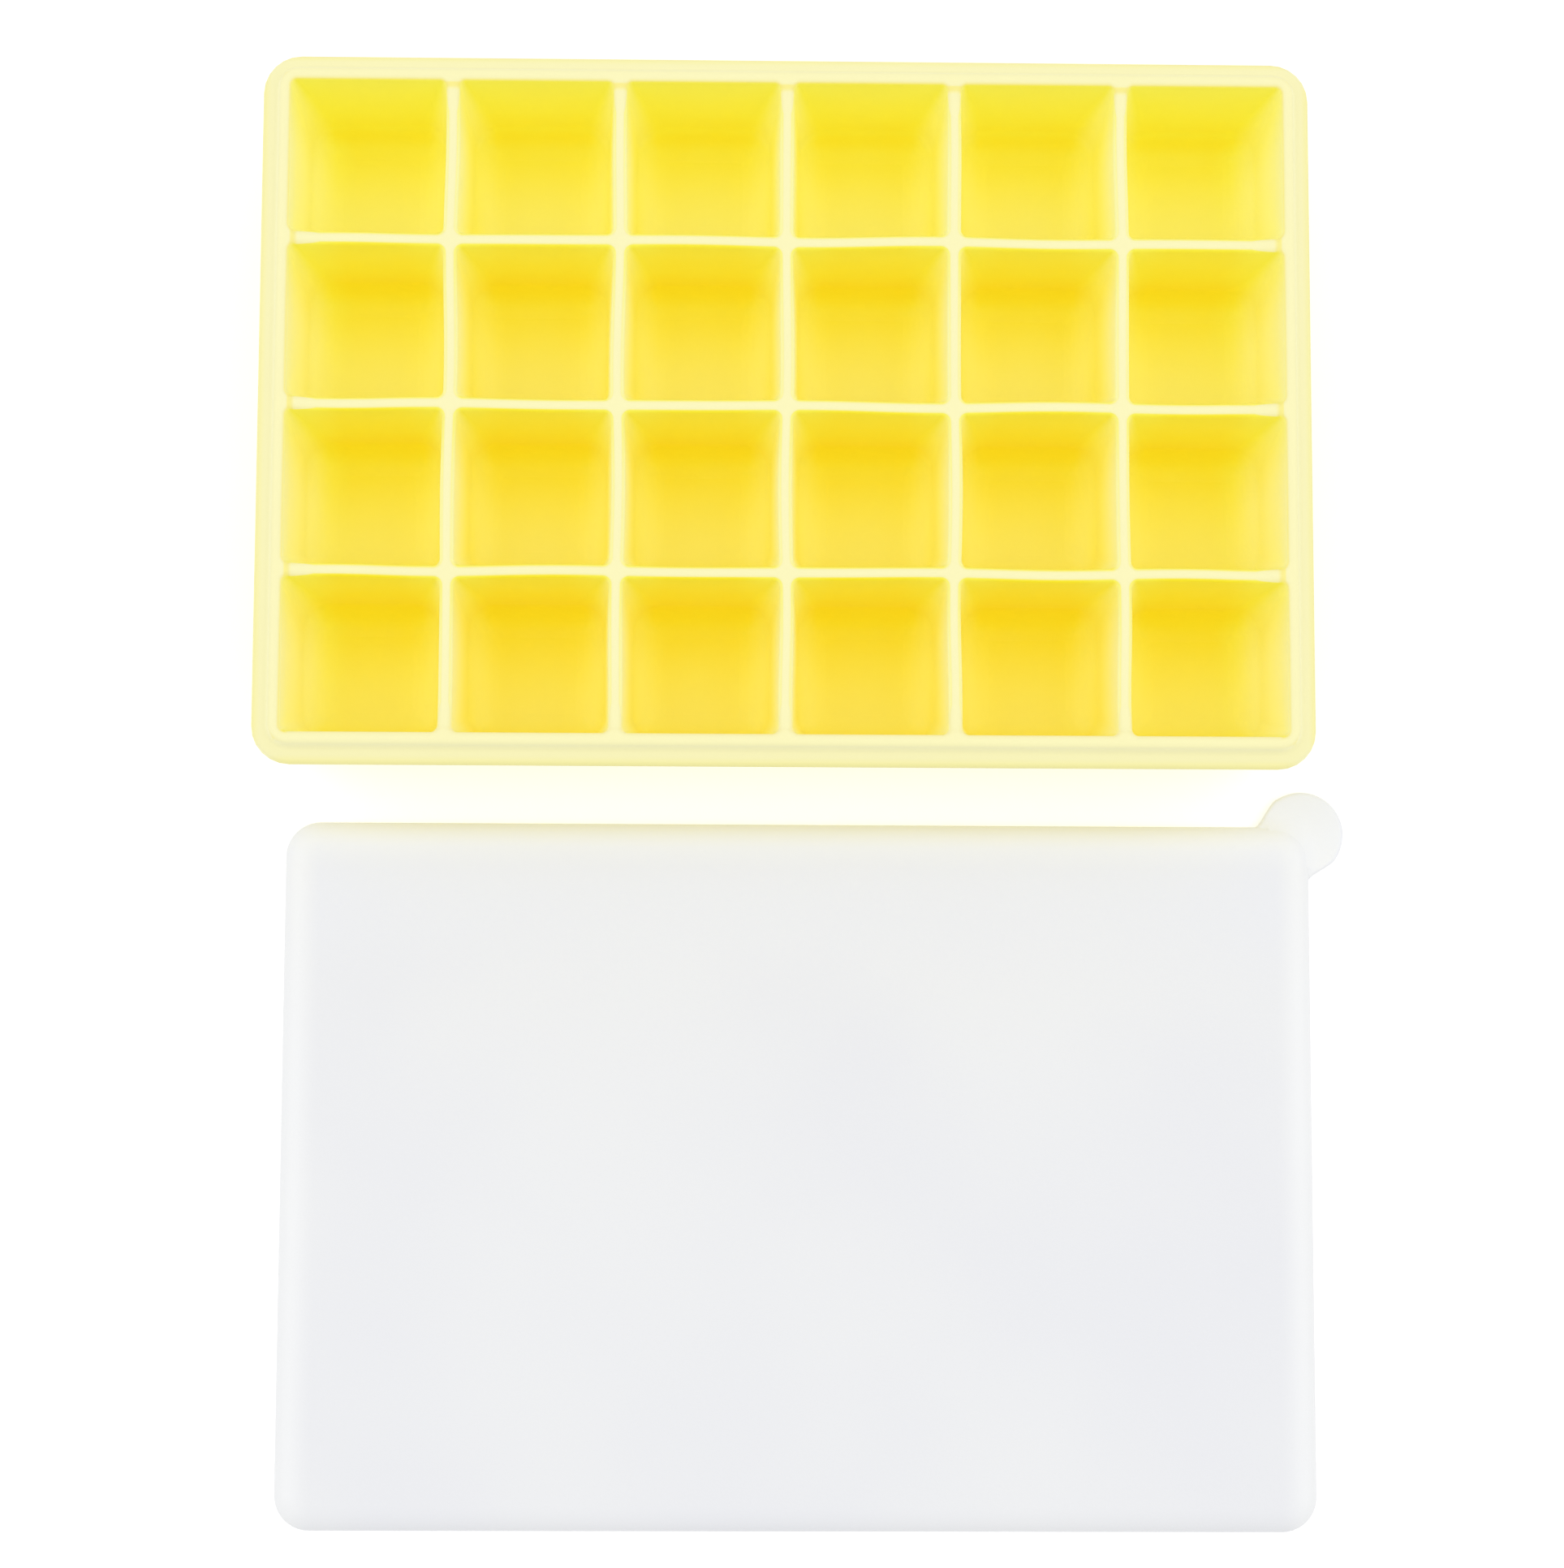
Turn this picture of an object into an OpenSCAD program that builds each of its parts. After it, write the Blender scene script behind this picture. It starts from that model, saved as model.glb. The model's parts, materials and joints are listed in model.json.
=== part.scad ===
// Silicone ice cube tray with square cells, and its soft lid lying in front of it.
// Sizes are in millimetres. The tray stands on z = 0 with its underside centred on the origin;
// rows are counted from the rear and columns from the left.

/* [Cells] */
// Cells along the tray
columns = 6; // [2:1:8]
// Cells across the tray
rows = 4; // [2:1:5]
// Opening of a cell at the level of the lip, each way
cell_w = 27.3; // [20:0.1:40]
// Depth of a cell from the lip to its floor
cell_depth = 27.2; // [18:0.1:36]
// How far the dividers end below the lip
divider_drop = 1.2; // [0.5:0.1:3]
// Thickness of a divider, measured at the level of the lip
divider_top = 2.2; // [1.5:0.1:4]
// Slope of every cell wall, in degrees, so that a cube slips out
draft = 3.5; // [1:0.1:5]

/* [Cell floors] */
// Thickness of the push-out floor of a cell
floor_t = 2.2; // [1:0.1:4]
// Height of the floor's underside above the table
floor_recess = 0.6; // [0.3:0.1:2]
// Clearance all round a floor
floor_gap = 0.15; // [0.05:0.05:0.4]

/* [Tray rim] */
// Thickness of the outer wall, which ends in a raised lip
wall_t = 2.2; // [1.6:0.1:4]
// Corner radius of the lip, seen from above
lip_corner_r = 3.6; // [3:0.1:8]
// Width of the flange outside the lip
flange_w = 3.1; // [2:0.1:8]
// Thickness of the flange
flange_t = 3; // [1.5:0.1:4]
// Height of the lip above the flange
lip_rise = 3; // [2.6:0.1:8]

/* [Lid] */
// Thickness of the lid's flat panel
panel_t = 1.7; // [1.2:0.1:3]
// Radius of the panel's upper edge
panel_edge_r = 1.1; // [0.4:0.1:1.2]
// Thickness of the lid's skirt
skirt_t = 1.7; // [1:0.1:3]
// Height of the sealing bead inside the skirt
bead_h = 0.6; // [0.3:0.1:1]
// Width of the sealing bead, measured upwards
bead_w = 1.2; // [0.6:0.1:2]
// Height of the bead above the skirt's foot
bead_z = 0.8; // [0.4:0.1:1.5]
// Clearance between the bead and the lip
bead_clear = 0.3; // [0.1:0.05:0.6]
// Clearance between the skirt's foot and the flange when the lid is on
seat_clear = 0.3; // [0.1:0.05:0.6]

/* [Pull tab] */
// Radius of the round tab at the lid's corner
tab_r = 7.6; // [5:0.1:12]
// Distance of the tab's centre behind the lid's sharp corner, along the diagonal
tab_back = 1.6; // [0:0.1:2]
// Thickness of the tab
tab_t = 1.6; // [1:0.1:2.4]
// Height of the tab's underside above the skirt's foot
tab_lift = 0.4; // [0.2:0.1:1]
// Clearance between the tab and the lid at its bending line
tab_clear = 0.3; // [0.1:0.05:0.6]

/* [Layout] */
// Gap between the tray's front edge and the tab, seen from above
tab_gap = 1.2; // [0.2:0.1:30]
// How far the lid lies to the right of the tray
lid_shift = 3; // [0:0.5:20]

/* [Hidden] */
$fn = 64;

// Tray sizes
pitch = cell_w + divider_top;
slope = tan(draft);
grid_w = columns * pitch - divider_top;
grid_d = rows * pitch - divider_top;
floor_top = floor_recess + floor_t;
tray_h = floor_top + cell_depth;
divider_h = tray_h - divider_drop;
lip_w = grid_w + 2 * wall_t;
lip_d = grid_d + 2 * wall_t;
foot_corner_r = lip_corner_r - tray_h * slope;
flange_top = tray_h - lip_rise;
flange_corner_r = lip_corner_r + flange_w;
tray_w = lip_w + 2 * flange_w;
tray_d = lip_d + 2 * flange_w;
// Longer than anything that a prism has to cross
reach = 2 * (tray_w + tray_d);

// Lid sizes, worked outwards from the lip
lid_grow = bead_clear + bead_h + skirt_t;
lid_w = lip_w + 2 * lid_grow;
lid_d = lip_d + 2 * lid_grow;
lid_corner_r = lip_corner_r + lid_grow;
skirt_depth = lip_rise - seat_clear;
tab_reach = tab_r - tab_back / sqrt(2);
lid_x = lid_shift;
lid_y = -(tray_d / 2 + tab_gap + tab_reach + lid_d / 2);

// Pull tab places, along the diagonal out of the lid's sharp corner
tab_centre = -tab_back;
lid_corner_face = -(sqrt(2) - 1) * lid_corner_r;
bend_r = tab_t / 2;
bend_at = lid_corner_face + tab_clear + bend_r;
bend_half = sqrt(tab_r * tab_r - (bend_at - tab_centre) * (bend_at - tab_centre));

TRAY_YELLOW = [0.98, 0.84, 0.24];
FLOOR_YELLOW = [0.98, 0.78, 0.16];
LID_WHITE = [0.92, 0.93, 0.94];

function column_x(c) = (c - (columns + 1) / 2) * pitch;
function row_y(r) = ((rows + 1) / 2 - r) * pitch;
function long_name(k) = str("long_divider_", k);
function cross_name(k) = str("cross_divider_", k);
function floor_name(r, c) = str("cell_floor_r", r, "_c", c);

// Section of a sloped prism: its width at the level of the lip, and how much it widens
// downwards on each side for each millimetre
module taper(top, spread, height) {
    foot = top / 2 + spread * tray_h;
    head = foot - spread * height;
    polygon([[-foot, 0], [foot, 0], [head, height], [-head, height]]);
}

// Sloped prism along X at the given y, as high as the tray unless stated
module along_x(y, top, spread, height = tray_h, length = reach) {
    translate([0, y, 0])
        rotate([90, 0, 90])
            linear_extrude(length, center = true)
                taper(top, spread, height);
}

// Sloped prism along Y at the given x, as high as the tray unless stated
module along_y(x, top, spread, height = tray_h, length = reach) {
    translate([x, 0, 0])
        rotate([90, 0, 0])
            linear_extrude(length, center = true)
                taper(top, spread, height);
}

// Space between the inner faces of the left and right walls, and of the front and rear walls
module between_sides() along_y(0, grid_w, -slope);
module between_ends() along_x(0, grid_d, -slope);

// Children at the four corners of a rectangle, each turned to face outwards
module at_corners(w, d) {
    for (turn = [0 : 3]) {
        sx = (turn == 0 || turn == 3) ? 1 : -1;
        sy = (turn < 2) ? 1 : -1;
        translate([sx * w / 2, sy * d / 2, 0])
            rotate([0, 0, 90 * turn])
                children();
    }
}

module rounded_rect(w, d, r) {
    square([w - 2 * r, d], center = true);
    square([w, d - 2 * r], center = true);
    for (sx = [-1, 1])
        for (sy = [-1, 1])
            translate([sx * (w / 2 - r), sy * (d / 2 - r)])
                circle(r);
}

// Sweeps a section round a rounded rectangle: four straight runs and four corner turns that meet
// on flat faces. The section's X runs outwards from the corner's centre, and its Y runs upwards
module sweep_round(w, d, r) {
    straight_w = w - 2 * r;
    straight_d = d - 2 * r;
    for (turn = [0, 180])
        rotate([0, 0, turn]) {
            translate([straight_w / 2, 0, 0])
                rotate([90, 0, 0])
                    linear_extrude(straight_d, center = true)
                        children();
            translate([0, straight_d / 2, 0])
                rotate([90, 0, 90])
                    linear_extrude(straight_w, center = true)
                        children();
        }
    at_corners(straight_w, straight_d)
        rotate_extrude(angle = 90)
            children();
}

// Block that fills the middle of such a sweep
module core_block(w, d, r, height) {
    translate([0, 0, height / 2])
        cube([w - 2 * r, d - 2 * r, height], center = true);
}

// Outside of the tray: sloped faces with conical corners
module tray_shell() {
    core_block(lip_w, lip_d, lip_corner_r, tray_h);
    sweep_round(lip_w, lip_d, lip_corner_r)
        polygon([[0, 0], [foot_corner_r, 0], [lip_corner_r, tray_h], [0, tray_h]]);
}

// Half of space on one side of a vertical plane through the origin
module half(direction) {
    translate(direction * reach / 2)
        cube([reach, reach, 2 * reach], center = true);
}

// Flange with a round edge that runs round the tray below its lip
module tray_rim() {
    nose_r = flange_t / 2;
    nose_x = flange_corner_r - nose_r;
    color(TRAY_YELLOW)
        difference() {
            translate([0, 0, flange_top - nose_r])
                sweep_round(tray_w, tray_d, flange_corner_r) {
                    translate([0, -nose_r])
                        square([nose_x, flange_t]);
                    translate([nose_x, 0])
                        circle(nose_r);
                }
            tray_shell();
        }
}

// Rear wall for side 1 and front wall for side -1, between the side walls
module end_wall(side) {
    color(TRAY_YELLOW)
        intersection() {
            difference() {
                tray_shell();
                between_ends();
            }
            between_sides();
            half([0, side, 0]);
        }
}

// Right wall for side 1 and left wall for side -1, with the tray's corners
module side_wall(side) {
    color(TRAY_YELLOW)
        intersection() {
            difference() {
                tray_shell();
                between_sides();
            }
            half([side, 0, 0]);
        }
}

// Divider along the tray, in front of row k
module long_divider(k) {
    color(TRAY_YELLOW)
        intersection() {
            along_x((row_y(k) + row_y(k + 1)) / 2, divider_top, slope, divider_h);
            between_sides();
        }
}

// Divider across the tray to the right of column k: one web in each row
module cross_divider(k) {
    color(TRAY_YELLOW)
        for (r = [1 : rows])
            intersection() {
                along_y((column_x(k) + column_x(k + 1)) / 2, divider_top, slope, divider_h);
                along_x(row_y(r), cell_w, -slope);
            }
}

// Thin floor of one cell, which a fingertip pushes upwards from below
module cell_floor(r, c) {
    floor_w = cell_w - 2 * floor_gap;
    color(FLOOR_YELLOW)
        intersection() {
            along_x(row_y(r), floor_w, -slope);
            along_y(column_x(c), floor_w, -slope);
            translate([0, 0, floor_recess + floor_t / 2])
                cube([reach, reach, floor_t], center = true);
        }
}

// Moves its children to the lid's place on the table
module at_lid() {
    translate([lid_x, lid_y, 0])
        children();
}

// Moves its children to the lid's right rear corner, with X outwards along the diagonal
module at_tab() {
    translate([lid_x + lid_w / 2, lid_y + lid_d / 2, 0])
        rotate([0, 0, 45])
            children();
}

// Outline of the tab in its own frame, on one side of the bending line
module tab_outline(outer) {
    intersection() {
        translate([tab_centre, 0])
            circle(tab_r);
        if (outer)
            translate([bend_at, -reach / 2])
                square(reach);
        else
            translate([bend_at - bend_r - tab_clear - reach, -reach / 2])
                square(reach);
    }
}

// Flat top of the lid with a rounded upper edge
module lid_panel() {
    round_x = lid_corner_r - panel_edge_r;
    round_z = panel_t - panel_edge_r;
    color(LID_WHITE)
        at_lid()
            translate([0, 0, skirt_depth]) {
                core_block(lid_w, lid_d, lid_corner_r, panel_t);
                sweep_round(lid_w, lid_d, lid_corner_r) {
                    square([lid_corner_r, round_z]);
                    square([round_x, panel_t]);
                    translate([round_x, round_z])
                        intersection() {
                            circle(panel_edge_r);
                            square(panel_edge_r);
                        }
                }
            }
}

// Upright skirt of the lid with its sealing bead inside and the web that carries the tab
module lid_skirt() {
    inner_w = lid_w - 2 * skirt_t;
    inner_d = lid_d - 2 * skirt_t;
    inner_r = lid_corner_r - skirt_t;
    color(LID_WHITE) {
        difference() {
            union() {
                at_lid()
                    linear_extrude(skirt_depth)
                        rounded_rect(lid_w, lid_d, lid_corner_r);
                translate([0, 0, tab_lift])
                    at_tab()
                        linear_extrude(tab_t)
                            tab_outline(false);
            }
            at_lid()
                translate([0, 0, -skirt_depth])
                    linear_extrude(3 * skirt_depth)
                        rounded_rect(inner_w, inner_d, inner_r);
        }
        at_lid()
            translate([0, 0, bead_z])
                linear_extrude(bead_w)
                    difference() {
                        rounded_rect(inner_w + skirt_t, inner_d + skirt_t, inner_r + skirt_t / 2);
                        rounded_rect(inner_w - 2 * bead_h, inner_d - 2 * bead_h, inner_r - bead_h);
                    }
    }
}

// Round tab at the lid's corner, which bends up about its barrel-shaped root
module pull_tab() {
    color(LID_WHITE)
        translate([0, 0, tab_lift])
            at_tab() {
                linear_extrude(tab_t)
                    tab_outline(true);
                translate([bend_at, 0, bend_r])
                    rotate([90, 0, 0])
                        cylinder(h = 2 * bend_half, r = bend_r, center = true);
            }
}

tray_rim();
end_wall(1);  // rear_wall
end_wall(-1);  // front_wall
side_wall(-1);  // left_wall
side_wall(1);  // right_wall
for (k = [1 : rows - 1])
    long_divider(k);
for (k = [1 : columns - 1])
    cross_divider(k);
for (r = [1 : rows])
    for (c = [1 : columns])
        cell_floor(r, c);
lid_panel();
lid_skirt();
pull_tab();
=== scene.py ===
# %% [markdown]
# # A silicone ice cube tray with its lid
# Two soft mouldings lie on a white table: a yellow tray with square cells, and a frosted white lid in
# front of it. The packed CAD model is the frame. It says where everything is, how big it is and what
# moves, so this lesson only dresses it: smooth moulded skins over the CAD solids, and their finishes.

# %% Load the frame
import json
import math

import bmesh
import bpy
import numpy as np
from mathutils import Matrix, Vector

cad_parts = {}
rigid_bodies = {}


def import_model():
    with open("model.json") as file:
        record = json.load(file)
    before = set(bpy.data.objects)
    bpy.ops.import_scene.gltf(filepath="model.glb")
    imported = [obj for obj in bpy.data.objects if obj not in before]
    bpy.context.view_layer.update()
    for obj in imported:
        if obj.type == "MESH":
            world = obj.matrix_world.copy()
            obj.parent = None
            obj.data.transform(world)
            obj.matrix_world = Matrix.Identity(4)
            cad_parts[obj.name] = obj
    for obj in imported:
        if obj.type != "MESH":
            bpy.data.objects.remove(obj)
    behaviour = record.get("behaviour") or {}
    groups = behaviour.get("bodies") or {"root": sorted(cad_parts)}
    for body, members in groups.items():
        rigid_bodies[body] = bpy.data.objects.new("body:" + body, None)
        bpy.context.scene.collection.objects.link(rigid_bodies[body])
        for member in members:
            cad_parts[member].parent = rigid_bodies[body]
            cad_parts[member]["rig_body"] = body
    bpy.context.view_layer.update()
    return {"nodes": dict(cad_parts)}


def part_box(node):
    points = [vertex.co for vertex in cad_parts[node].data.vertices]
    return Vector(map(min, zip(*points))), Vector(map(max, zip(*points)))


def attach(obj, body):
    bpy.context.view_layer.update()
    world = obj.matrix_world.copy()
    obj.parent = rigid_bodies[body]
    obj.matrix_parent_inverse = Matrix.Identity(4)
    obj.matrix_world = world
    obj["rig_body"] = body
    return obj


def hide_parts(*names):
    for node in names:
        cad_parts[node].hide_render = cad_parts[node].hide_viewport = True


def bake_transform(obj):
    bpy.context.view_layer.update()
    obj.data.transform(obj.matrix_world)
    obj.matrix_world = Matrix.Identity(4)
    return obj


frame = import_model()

MM = 0.001

# %% [markdown]
# ## Sizes
# The sizes could be typed in again here, but then they could drift apart from the solids. They are read
# from the boxes of the CAD nodes instead. Only the slope of the cell walls can't be seen in a box.

# %% Measure the packed tray
X, Y, Z = range(3)
WALL_DRAFT = 3.5
SLOPE = math.tan(math.radians(WALL_DRAFT))


def low(node, axis):
    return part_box(node)[0][axis]


def high(node, axis):
    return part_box(node)[1][axis]


def middle(node):
    return (np.array(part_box(node)[0]) + np.array(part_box(node)[1])) / 2


floors = [name for name in frame["nodes"] if name.startswith("cell_floor_")]
columns = sum("_r1_" in name for name in floors)
rows = len(floors) // columns
cells = [(r, c) for r in range(1, rows + 1) for c in range(1, columns + 1)]
pitch = middle("cell_floor_r1_c2")[X] - middle("cell_floor_r1_c1")[X]
lip_z = high("rear_wall", Z)
divider_z = high("long_divider_1", Z)
floor_z = high("cell_floor_r1_c1", Z)
floor_under = low("cell_floor_r1_c1", Z)
flange_low, flange_high = low("tray_rim", Z), high("tray_rim", Z)
lip_half = np.array((high("right_wall", X), high("rear_wall", Y)))
flange_w = high("tray_rim", X) - lip_half[X]
divider_foot = (high("long_divider_1", Y) - low("long_divider_1", Y)) / 2
grid_half = np.array((columns, rows)) * pitch / 2 - (divider_foot - SLOPE * lip_z)


def cell_reach(z):
    """Distance from the middle of a cell to its wall, at a height."""
    return pitch / 2 - divider_foot + SLOPE * z


print(f"{columns} x {rows} cells, {pitch / MM:.1f} mm apart, mouth {2 * cell_reach(lip_z) / MM:.1f} mm")

# %% [markdown]
# ## Shader sums as Python
# A finish is a small calculation: where am I on the tray, how deep, how pale is it there? Linking Math
# nodes by hand hides that calculation, so one class wraps a socket and lets Python's own signs add
# the nodes. Every other node comes from its `node` method.


# %% Wires
class Wire:
    """A socket of a material that can be used in sums."""

    def __init__(self, tree, socket=None):
        self.tree, self.socket = tree, socket

    def node(self, kind, settings=(), plugs=(), out=0):
        """A new node: first its settings, then the values or wires of its sockets."""
        made = self.tree.nodes.new(kind)
        for name, value in dict(settings).items():
            setattr(made, name, value)
        for name, value in dict(plugs).items():
            if isinstance(value, Wire):
                self.tree.links.new(value.socket, made.inputs[name])
            else:
                made.inputs[name].default_value = value
        return Wire(self.tree, made.outputs[out] if made.outputs else None)

    def sum(self, operation, *values):
        return self.node("ShaderNodeMath", {"operation": operation}, enumerate(values))

    def __add__(self, other):
        return self.sum("ADD", self, other)

    def __sub__(self, other):
        return self.sum("SUBTRACT", self, other)

    def __rsub__(self, other):
        return self.sum("SUBTRACT", other, self)

    def __mul__(self, other):
        return self.sum("MULTIPLY", self, other)

    def __abs__(self):
        return self.sum("ABSOLUTE", self)

    __radd__, __rmul__ = __add__, __mul__

    def larger(self, other):
        return self.sum("MAXIMUM", self, other)

    def smaller(self, other):
        return self.sum("MINIMUM", self, other)

    def parts(self):
        """The three parts of a vector."""
        split = self.node("ShaderNodeSeparateXYZ", plugs={"Vector": self})
        return [Wire(self.tree, socket) for socket in split.socket.node.outputs]

    def ease(self, start, end, least=0.0, most=1.0):
        """A soft step from least to most while this wire goes from start to end."""
        plugs = {"Value": self, "From Min": start, "From Max": end, "To Min": least, "To Max": most}
        return self.node("ShaderNodeMapRange", {"interpolation_type": "SMOOTHSTEP"}, plugs)

    def mix(self, first, second):
        """A colour between two colours, by this wire as the share of the second."""
        return self.node("ShaderNodeMix", {"data_type": "RGBA"}, {0: self, 6: first, 7: second}, out=2)


print("a wire can", ", ".join(name for name in vars(Wire) if not name.startswith("_")))

# %% [markdown]
# ## Paint, clouds and grain
# Both mouldings need the same few things: a colour written as six digits, as paint programs write it, a
# cloudy change of tone, and a matt surface with a fine grain. A colour picker gives the colour as the
# eye sees it, but a shader counts light, so `paint` turns one into the other.

# %% Paint, clouds and grain


def new_material(name):
    """An empty node material, and a wire to start its sums from."""
    material = bpy.data.materials.new(name)
    material.use_nodes = True
    material.node_tree.nodes.clear()
    return material, Wire(material.node_tree)


def paint(hex_colour):
    """Linear colour for the shader from the usual six digits."""
    parts = [int(hex_colour[i:i + 2], 16) / 255 for i in (0, 2, 4)]
    return (*(p / 12.92 if p <= 0.04045 else ((p + 0.055) / 1.055) ** 2.4 for p in parts), 1.0)


def noise(wire, place, size, detail=2.0, roughness=0.5):
    """Cloudy values of about 0.5 whose clumps are about one size across."""
    plugs = {"Vector": place, "Scale": 1 / size, "Detail": detail, "Roughness": roughness}
    return wire.node("ShaderNodeTexNoise", plugs=plugs)


def finish_shader(wire, colour, roughness, grain, grain_depth, constants):
    """A Principled surface with a fine grain as bump."""
    plugs = {"Height": grain, "Strength": 1.0, "Distance": grain_depth}
    bump = wire.node("ShaderNodeBump", plugs=plugs)
    plugs = {"Base Color": colour, "Roughness": roughness, "Normal": bump, **constants}
    surface = wire.node("ShaderNodeBsdfPrincipled", plugs=plugs)
    wire.node("ShaderNodeOutputMaterial", plugs={"Surface": surface})


def band(first, last):
    """Where a soft change begins and ends, given in mm."""
    return np.array((first, last)) * MM


print("a mid grey of the eye, counted as light:", round(paint("808080")[0], 3))

# %% [markdown]
# ## Yellow silicone: places
# Soft silicone lets light in. Thin edges such as the lip, the flange and the tops of the dividers are lit
# through and look pale, while light that has crossed many walls comes out of the cells as a deep warm
# yellow. Subsurface scattering could work that out, but it is slow and is lost in a baked model, so
# the colour is laid out by place. This step finds the places, each a share from 0 to 1 with soft ends.
# The dividers are lower than the lip, so their pale tops end just short of it at the rear, the left
# and the right, where the wall behind their ends is seen.

# %% Places on the tray
WALL_MIDDLE = band(0.5, 1.9)
DIVIDER_TOP = band(-0.22, -0.02)
DIVIDER_END = band(-0.8, -1.7)
LIP_TOP = band(-0.5, -0.05)
LIP_START = band(-0.5, -0.1)
FLANGE_UNDER = band(-3, 0.5)

silicone, start = new_material("yellow_silicone")
place = start.node("ShaderNodeTexCoord", out="Object")
x, y, z = place.parts()
face_x, face_y, face_z = start.node("ShaderNodeNewGeometry", out="Normal").parts()
past_side, past_rear = abs(x) - grid_half[X], y - grid_half[Y]
past_lit_wall = past_side.larger(past_rear)
past_wall = past_lit_wall.larger(-grid_half[Y] - y)
outside = (past_wall + SLOPE * (lip_z - z)).ease(*WALL_MIDDLE)
on_divider = z.ease(*(divider_z + DIVIDER_TOP)) * past_lit_wall.ease(*DIVIDER_END)
on_lip = z.ease(*(lip_z + LIP_TOP)) * past_wall.ease(*LIP_START)
on_flange = outside * z.ease(*(flange_low + FLANGE_UNDER))
on_rim = on_divider.larger(on_lip).larger(on_flange)
print("nodes for the places:", len(silicone.node_tree.nodes))

# %% [markdown]
# ## Yellow silicone: light in the cells
# Light comes in through the rear and side walls more than through the front wall, so the front rows are
# deeper in colour. In each cell the left and right walls are paler than the front and back walls, most
# of all near the mouth. The feet of the front and back walls are deepest, and the floor grows paler
# to its front. Every cell could have a material of its own, but the same sum does for all of them:
# the fraction of a place divided by the pitch says where it lies in its cell.

# %% Light in the cells
GLOW_REACH = band(-11, -0.5)
GLOW_SHARE, FLOOR_GLOW_LOSS = 0.8, 0.8
CLOUD_SIZE, CLOUD_SHARE = 9 * MM, 0.3
MID_CELL_FROM, MID_CELL_TO, BESIDE_WALL = 0.46, 0.16, 0.4
MOUTH_RUN, BELOW_MOUTH = band(-20, 0), 0.4
AT_CELL_REAR, SIDE_GLOW_SHARE = 0.45, 0.9
FLOOR_FRONT_ROWS, FLOOR_REAR_GAIN = 0.72, 0.32
FOOT_RUN = band(13, 3)

on_floor = face_z.ease(0.3, 0.95)
side_glow, rear_glow = (past.ease(*GLOW_REACH) for past in (past_side, past_rear))
glow = side_glow.larger(rear_glow * (1 - FLOOR_GLOW_LOSS * on_floor))
clouds = noise(start, place, CLOUD_SIZE)
cell_x, cell_y = (start.sum("FRACT", along * (1 / pitch)) for along in (x, y))
mid_cell = abs(cell_x - 0.5).ease(MID_CELL_FROM, MID_CELL_TO, BESIDE_WALL)
deepness = (1 - GLOW_SHARE * glow + CLOUD_SHARE * (clouds - 0.5)) * mid_cell
near_mouth = z.ease(*(divider_z + MOUTH_RUN), BELOW_MOUTH)
near_front = cell_y.ease(1.0, 0.5, AT_CELL_REAR)
side_light = abs(face_x).ease(0.15, 1.0) * near_mouth.larger(SIDE_GLOW_SHARE * glow) * near_front
to_rear = y.ease(-grid_half[Y], grid_half[Y])
floor_light = on_floor * cell_y.ease(0.9, 0.15) * (FLOOR_FRONT_ROWS + FLOOR_REAR_GAIN * to_rear)
at_foot = z.ease(*(floor_z + FOOT_RUN)) * deepness * abs(face_y).ease(0.3, 0.9)
print("nodes with the light:", len(silicone.node_tree.nodes))

# %% [markdown]
# ## Yellow silicone: colours
# Cream on the thin edges, lemon where light comes in, amber where it is deep: the colours were set by
# comparing renders with the photograph. One colour ramp could hold them all, but a place often has two
# reasons for its tone, such as a side wall near the mouth in a front row. So the colours are mixed
# in layers, from the walls of the cells out to the rim.

# %% Silicone colours
WALL_LEMON = paint("FFFC60")
DEEP_AMBER = paint("FFF33E")
FRONT_AMBER = paint("FFEF24")
FOOT_AMBER = paint("FFEE34")
FLOOR_LEMON = paint("FFFA98")
SIDE_PALE = paint("FFFFC6")
TOP_GOLD = paint("FDF292")
OUTER_YELLOW = paint("FFF3A4")
RIM_PALE = paint("FBF6BC")
RIM_LIT = paint("FFFBC6")
FLANGE_EDGE = paint("FBF4A6")
BESIDE_TOP = band(-0.3, 0)
FLANGE_OUT = band(3.6, 5.2)

deep_colour = to_rear.mix(FRONT_AMBER, DEEP_AMBER)
wall_colour = at_foot.mix(deepness.mix(WALL_LEMON, deep_colour), FOOT_AMBER)
cell_colour = side_light.mix(floor_light.mix(wall_colour, FLOOR_LEMON), SIDE_PALE)
divider_end = z.ease(*(divider_z + BESIDE_TOP)) * face_z.ease(0.2, 0.7)
inside_colour = divider_end.mix(cell_colour, TOP_GOLD)
body_colour = outside.mix(inside_colour, OUTER_YELLOW)
lip_colour = face_z.ease(0.8, 0.2).mix(RIM_PALE, RIM_LIT)
rim_colour = past_wall.ease(*FLANGE_OUT).mix(lip_colour, FLANGE_EDGE)
silicone_colour = on_rim.mix(body_colour, rim_colour)
print("nodes with the colours:", len(silicone.node_tree.nodes))

# %% [markdown]
# ## Yellow silicone: surface
# A mould leaves silicone matt, with a grain that is felt more than seen and a slow unevenness like skin.
# Real bumps would need millions of faces, so two sizes of noise tilt the light instead. A little
# sheen stands for the dusty look of silicone at a glancing angle.

# %% Silicone surface
FINE_GRAIN, WIDE_GRAIN, WIDE_SHARE = 0.7 * MM, 6 * MM, 2
GRAIN_DETAIL, GRAIN_DEPTH = 3.0, 0.03 * MM
MATT, MATT_CHANGE = 0.46, 0.16
SILICONE_IOR = 1.41

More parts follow.
